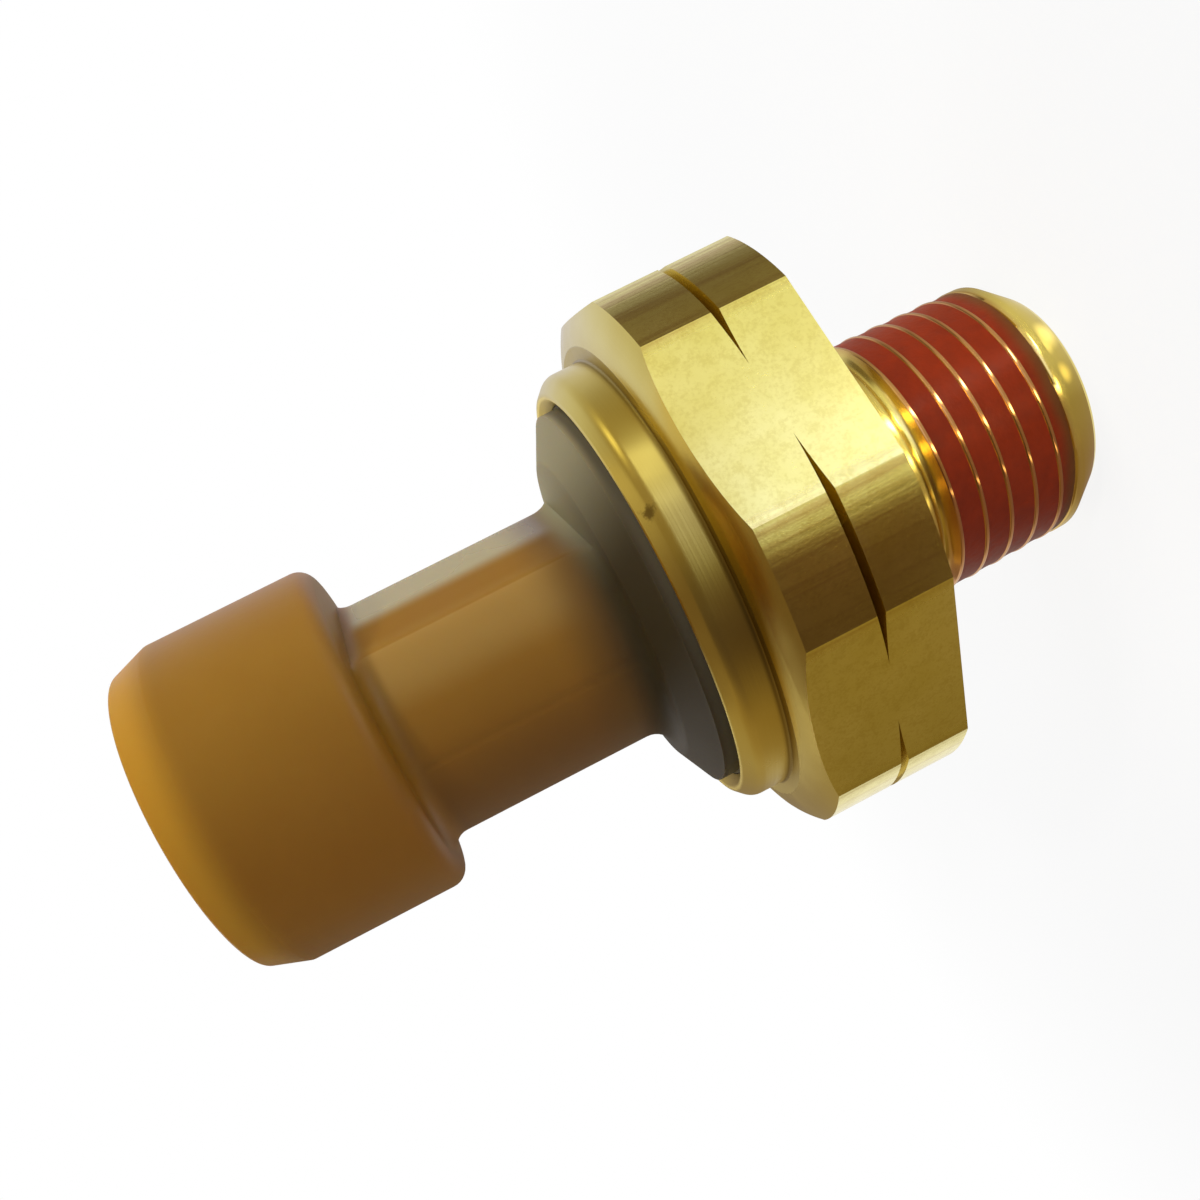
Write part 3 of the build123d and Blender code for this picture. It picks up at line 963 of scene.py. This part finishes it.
def turned_brass():
    """Fine rings, painted shade in the groove and under the lip, one nick, and crests under a thin
    smear.
    """
    metal = Finish("brass_turned", roughness=0.24, metallic=1.0)
    tone = brass_tone(metal, colour(216, 192, 92), colour(234, 216, 122), 220)
    away = metal.from_axis()
    rings = metal.node("ShaderNodeCombineXYZ", {}, {0: away * RING_SCALE, 1: metal.z * RING_SCALE})
    lines = metal.noise(1.0, detail=2, place=rings)
    # Painted shade in the turned groove and in the seam under the lip; the nick is a real dark mark.
    off_groove = metal.math_of("ABSOLUTE", metal.z - GROOVE_MIDDLE * MM)
    inside = (1 - metal.between(off_groove, *GROOVE_EDGE)) * metal.between(away, *GROOVE_REACH)
    seam_shade = metal.band(metal.z, SEAM_RISE, SEAM_FALL)
    marks = metal.noise(2600, detail=3, roughness=0.7)
    nick = 1 - metal.between(metal.distance_to(NICK) + marks * 0.0012, *NICK_EDGE)
    nick_and_shade = (inside * 0.15 + seam_shade * 0.6 + nick * 0.7).clamped()
    smeared = metal.band(metal.z, SMEAR_RISE, SMEAR_FALL)
    tone = metal.mix(0.85 * smeared, tone, colour(190, 128, 84))
    metal.feed("Base Color", metal.mix(nick_and_shade, tone, colour(96, 68, 28)))
    cloud = metal.noise(400, detail=4, roughness=0.6)
    rolled = metal.between(metal.z, *ROLLED_RISE)
    bare = 0.14 + 0.16 * cloud + 0.25 * nick_and_shade + 0.08 * rolled
    metal.feed("Roughness", bare * (1 - smeared) + 0.14 * smeared)
    metal.bump((lines + 1.5 * cloud) * (1 - smeared), 0.000004)
    return metal.material


turned_material = turned_brass()
print("turned brass has", len(turned_material.node_tree.nodes), "nodes")

# %% Brass, drawn
CORNER_RISE = span(HEX_CORNER - 0.25, HEX_CORNER - 0.02)
STREAK_SIZES = (1100, 1100, 30)
SIDE_TILT = 0.05
FLAT_AREA = 2e-6
FLAT_MARGIN = 0.01
CORNER_MARGIN = 0.02


def drawn_brass():
    """Mottled flats, and corners that are streaked along the bar."""
    metal = Finish("brass_drawn", roughness=0.34, metallic=1.0)
    corner = metal.between(metal.from_axis(), *CORNER_RISE)
    streaks = metal.noise(1.0, detail=3, roughness=0.65, place=metal.stretched(STREAK_SIZES))
    mottle = metal.noise(1500, detail=5, roughness=0.75)
    grain = metal.noise(7000, detail=2, roughness=0.6)
    patch = metal.noise(260, detail=2)
    tone = brass_tone(metal, colour(222, 206, 104), colour(244, 232, 148), 420)
    worn = metal.between(0.6 * mottle + 0.4 * grain, 0.44, 0.62)
    tone = metal.mix(0.35 * worn, tone, colour(204, 182, 80))
    streaked = corner * metal.between(streaks, 0.44, 0.70)
    metal.feed("Base Color", metal.mix(0.55 * streaked, tone, colour(176, 130, 66)))
    metal.feed("Roughness", 0.2 + 0.14 * mottle + 0.06 * patch - 0.1 * corner)
    ripples = 0.35 * mottle + 0.3 * grain + 0.7 * patch + streaks * (0.4 + 1.2 * corner)
    metal.bump(ripples, 0.00001)
    return metal.material


def is_drawn(polygon):
    """Whether a face lies on the bar's flats or on its rounded corners."""
    place = polygon.center / MM
    if abs(polygon.normal.z) > SIDE_TILT or not STEM < place.z < LAND_TOP:
        return False
    away = hypot(place.x, place.y)
    on_corner = away > HEX_CORNER - CORNER_MARGIN
    return away > HEX_HALF - FLAT_MARGIN and (on_corner or polygon.area > FLAT_AREA)


brass.data.materials.clear()
brass.data.materials.append(turned_material)
brass.data.materials.append(drawn_brass())
for polygon in brass.data.polygons:
    polygon.material_index = 1 if is_drawn(polygon) else 0
print("faces on flats and corners:", sum(p.material_index == 1 for p in brass.data.polygons))

# %% [markdown]
# The sealant is a dry red paste: rough, uneven and browner where it thins out towards the tip.

# %% Sealant
SEALANT_FADE = span(2.2, 3.1)
red = Finish("sealant_red", roughness=0.42, Specular_IOR_Level=0.12)
speckle = red.noise(1600, detail=4, roughness=0.65)
patch = red.noise(330, detail=2)
paste = red.mix((0.6 * speckle + 0.5 * patch).clamped(), colour(98, 26, 3), colour(152, 47, 9))
full = red.between(red.z + 0.0004 * patch, *SEALANT_FADE)
red.feed("Base Color", red.mix(full, colour(104, 62, 26), paste))
red.feed("Roughness", 0.3 + 0.3 * speckle)
red.bump(speckle + patch, 0.00003)
sealant.data.materials.append(red.material)
print("sealant finish has", len(red.tree.nodes), "nodes")

# %% [markdown]
# The housing is a translucent amber moulding. Light enters it, so a little subsurface scattering
# warms its shaded side. The flange below is charcoal and turns amber along the neck's first millimetres.
# The tones laid over the amber follow the photograph: a bright rim at the mouth, a painted highlight
# along the neck's crown, painted shade on the lower sides, a pale painted reflection and a painted
# darker half on the latch flat, and on the flange a painted sheen on its upper side and its shaded side
# painted lighter.

# %% Amber moulding
RIM_RISE = span(44.5, 46.6)
NECK_RISE = span(25.5, 27.5)
NECK_FALL = span(35.5, 36.5)
CROWN_ANGLE = -82
CROWN_RISE = span(5.6, 6.4)
LATCH_REACH = span(LATCH_DISTANCE - 0.12, LATCH_DISTANCE - 0.06)
LATCH_RISE = span(25.0, 26.2)
LATCH_FALL = span(35.8, 36.5)
SHEEN_RISE = span(-1.0, 1.0)
SHADED_SIDE = span(0.0, 7.5)
SHADED_NECK = span(3.5, 6.2)
FLANGE_SHEEN_SIDE = span(-2.0, 6.0)
FLANGE_LIGHTENED_SIDE = span(23.0, 23.6)
COLLAR_RISE = span(24.6, 26.2)
MATT_FALL = span(25.0, 26.2)
AMBER_RISE = span(24.8, 28.5)

amber = Finish("amber_moulding", roughness=0.4, Specular_IOR_Level=0.32, Subsurface_Weight=0.3,
               Subsurface_Scale=0.002)
amber.shader.inputs["Subsurface Radius"].default_value = (1.0, 0.4, 0.08)
cloud = amber.noise(130, detail=3)
grain = amber.noise(2600, detail=3, roughness=0.6)
down = -1 * amber.x
rim = amber.between(amber.z, *RIM_RISE)
neck = amber.band(amber.z, NECK_RISE, NECK_FALL)
# Painted highlight along the top of the neck.
crown_highlight = neck * amber.between(amber.along(CROWN_ANGLE), *CROWN_RISE)
latch = amber.between(amber.along(LATCH_ANGLE), *LATCH_REACH)
latch = latch * amber.band(amber.z, LATCH_RISE, LATCH_FALL)
# The latch flat gets a pale painted reflection on one half and is painted darker on the other.
sheen = amber.between(amber.beside(LATCH_ANGLE), *SHEEN_RISE)

tone = amber.mix(cloud, colour(132, 90, 18), colour(147, 105, 28))
# Painted light over the amber: shade on the lower side and lower neck, a highlight along the crown, and
# on the latch flat a pale reflection and a darker half.
for share, shade in (
        (rim, colour(178, 128, 32)),
        (0.5 * (1 - rim) * amber.between(down, *SHADED_SIDE), colour(136, 80, 10)),
        (0.55 * crown_highlight, colour(160, 128, 66)),
        (0.5 * neck * amber.between(down, *SHADED_NECK), colour(86, 56, 28)),
        (0.8 * latch * sheen, colour(156, 144, 86)),
        (0.6 * latch * (1 - sheen), colour(128, 86, 6))):
    tone = amber.mix(share, tone, shade)
# Painted sheen on the flange's upper side, and its cylinder side below the cone painted lighter against
# its shade.
flange = amber.mix(amber.between(amber.x, *FLANGE_SHEEN_SIDE), colour(56, 46, 26), colour(140, 131, 98))
flange = amber.mix(amber.between(amber.z, *FLANGE_LIGHTENED_SIDE), colour(88, 80, 62), flange)
flange = amber.mix(amber.between(amber.z, *COLLAR_RISE), flange, colour(88, 63, 28))
amber.feed("Base Color", amber.mix(amber.between(amber.z, *AMBER_RISE), flange, tone))
matt = 1 - amber.between(amber.z, *MATT_FALL)
amber.feed("Roughness", 0.36 + 0.14 * cloud + 0.25 * matt + latch * (0.35 - 0.5 * sheen))
amber.bump(grain, 0.000006)
for piece in (housing, *ribs):
    piece.data.materials.append(amber.material)
print("amber finish has", len(amber.tree.nodes), "nodes")

# %% [markdown]
# The pieces inside keep their solids. Each gets the finish of its real material, so that a model
# that is opened or cut still looks right.

# %% Metals inside
def plated(name, tone, roughness, scale):
    """Tin plate: soft and slightly cloudy, with faint lines of drawing along the pin."""
    plate = Finish(name, roughness=roughness, metallic=1.0)
    cloud = plate.noise(scale, detail=3)
    lines = plate.noise(1.0, detail=2, place=plate.stretched((9000, 9000, 300)))
    darker = [0.8 * v for v in tone[:3]] + [1.0]
    plate.feed("Base Color", plate.mix(cloud, darker, tone))
    plate.feed("Roughness", roughness - 0.06 + 0.16 * cloud)
    plate.bump(lines, 0.000003)
    return plate.material


def dress(material, *nodes):
    """Gives CAD nodes their finish without touching their meshes."""
    for name in nodes:
        piece = bpy.data.objects[name]
        if not piece.material_slots:
            piece.data.materials.append(material)
        for material_slot in piece.material_slots:
            material_slot.material = material


dress(plated("tin_plate", colour(226, 224, 214), 0.28, 900),
      "terminal_pin_1", "terminal_pin_2", "terminal_pin_3")
dress(plated("tinned_wire", colour(218, 216, 208), 0.34, 1500),
      "element_pin_1", "element_pin_2", "element_pin_3")



# %% Ceramic, glass and plastics inside
def speckled(name, first, second, scale, roughness, height):
    """A plain moulded, cast or fired surface with fine grain."""
    surface = Finish(name, roughness=roughness)
    grain = surface.noise(scale, detail=4, roughness=0.6)
    surface.feed("Base Color", surface.mix(grain, first, second))
    surface.feed("Roughness", roughness - 0.08 + 0.16 * grain)
    surface.bump(grain, height)
    return surface.material


dress(speckled("alumina_white", colour(232, 231, 224), colour(244, 244, 240), 2200, 0.5, 0.000008),
      "ceramic_substrate", "ceramic_diaphragm")
dress(speckled("sealing_glass", colour(176, 190, 184), colour(206, 214, 208), 1200, 0.25, 0.000003),
      "glass_seal")
dress(speckled("potting_black", colour(34, 34, 36), colour(54, 54, 56), 500, 0.3, 0.00001),
      "terminal_potting")
dress(speckled("rubber_black", colour(30, 30, 30), colour(48, 47, 46), 1800, 0.62, 0.00001),
      "pressure_gasket", "flange_seal")
dress(speckled("ring_white", colour(228, 228, 222), colour(240, 240, 236), 1400, 0.4, 0.000004),
      "gasket_backup_ring")
dress(speckled("chip_black", colour(32, 32, 33), colour(52, 52, 53), 3500, 0.55, 0.000008),
      "signal_chip")
print("finishes so far:", len(bpy.data.materials))


# %% Circuit board and capacitors
TRACK_RINGS = 5200
TRACK_SPOKES = 24
TRACK_RISE = (0.72, 0.86)
TINNED_END = span(0.48, 0.52)


def board_finish():
    """Green solder mask over copper tracks that run as rings and spokes."""
    board = Finish("board_green", roughness=0.32)
    turn = board.math_of("ARCTAN2", board.y, board.x)
    ring = board.math_of("SINE", board.from_axis() * TRACK_RINGS)
    spoke = board.math_of("SINE", turn * TRACK_SPOKES)
    track = board.between(board.math_of("MAXIMUM", ring, spoke), *TRACK_RISE)
    grain = board.noise(2500, detail=3)
    mask = board.mix(grain, colour(18, 88, 48), colour(28, 108, 60))
    board.feed("Base Color", board.mix(track, mask, colour(52, 138, 74)))
    board.feed("Roughness", 0.26 + 0.12 * grain)
    board.bump(track, 0.00003)
    return board.material


def capacitor_finish(angle):
    """Tan ceramic in the middle and tinned ends, along the body's own length."""
    body = Finish(f"capacitor_tan_{angle}", roughness=0.4)
    sockets = {"Vector": body.place, "Rotation": (0, 0, radians(-angle))}
    aligned = body.node("ShaderNodeMapping", {}, sockets)
    length = body.node("ShaderNodeSeparateXYZ", {}, {0: aligned}, output=1)
    ends = body.between(body.math_of("ABSOLUTE", length), *TINNED_END)
    grain = body.noise(3000, detail=3)
    tan_ceramic = body.mix(grain, colour(176, 146, 108), colour(194, 164, 124))
    body.feed("Base Color", body.mix(ends, tan_ceramic, colour(214, 212, 206)))
    body.feed("Metallic", ends)
    body.feed("Roughness", 0.34 + 0.12 * grain)
    return body.material


dress(board_finish(), "circuit_board")
for number, angle in ((1, 60), (2, 180), (3, 300)):
    dress(capacitor_finish(angle), f"capacitor_{number}")
print("finishes in use:", len(bpy.data.materials))
